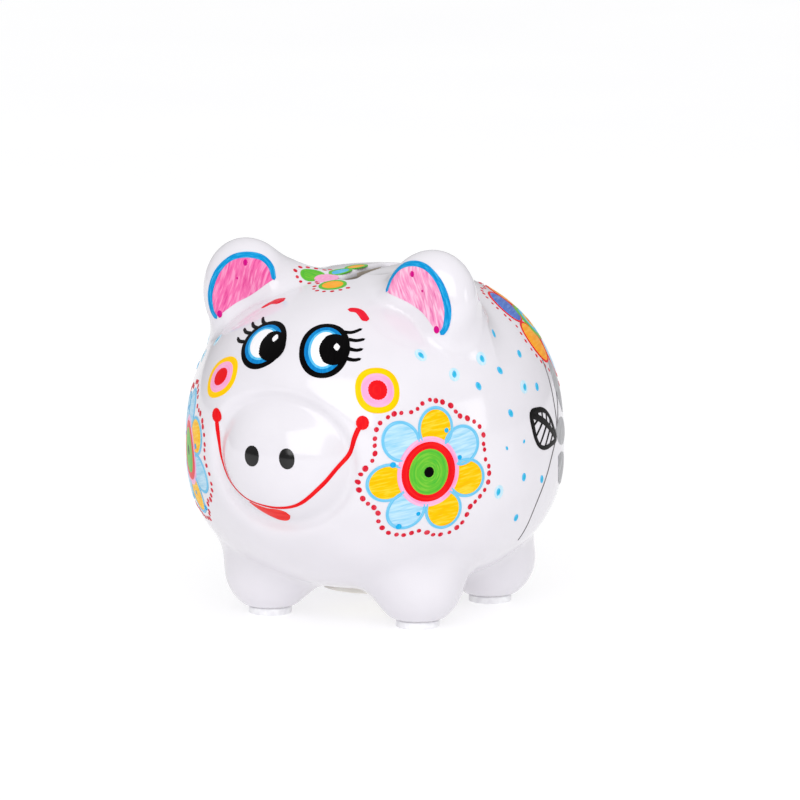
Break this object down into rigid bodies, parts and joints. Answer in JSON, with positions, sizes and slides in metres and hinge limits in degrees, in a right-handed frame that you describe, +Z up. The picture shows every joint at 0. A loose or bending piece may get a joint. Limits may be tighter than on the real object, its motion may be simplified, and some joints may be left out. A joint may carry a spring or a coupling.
{
  "type": "piggy bank",
  "caption": "Hollow glazed ceramic pig bank with a coin slot along its back, a pull-out rubber belly stopper and stick-on foot pads.",
  "frame": {"origin": "under the middle of the bank, on the surface that it stands on", "axes": "+Z up, the pig faces -Y, +X is the pig's own left"},
  "size_m": [0.1384, 0.1596, 0.1403],
  "materials": {
    "white_glaze": "high-gloss white glaze, painted by hand with porcelain pens",
    "stopper_rubber": "soft matte white rubber",
    "pad_foam": "smooth white soft plastic",
    "adhesive": "pale double-sided adhesive"
  },
  "bodies": {
    "bank": {"ceramic_shell": "white_glaze", "foot_pad_front_left": "pad_foam", "foot_pad_front_right": "pad_foam", "foot_pad_rear_left": "pad_foam", "foot_pad_rear_right": "pad_foam", "pad_adhesive_front_left": "adhesive", "pad_adhesive_front_right": "adhesive", "pad_adhesive_rear_left": "adhesive", "pad_adhesive_rear_right": "adhesive"},
    "stopper": {"belly_stopper": "stopper_rubber"}
  },
  "joints": [
    {"name": "stopper_pull", "type": "slide", "parent": "bank", "child": "stopper", "axis": [0, 0, -1], "range_m": [0, 0.03]}
  ]
}
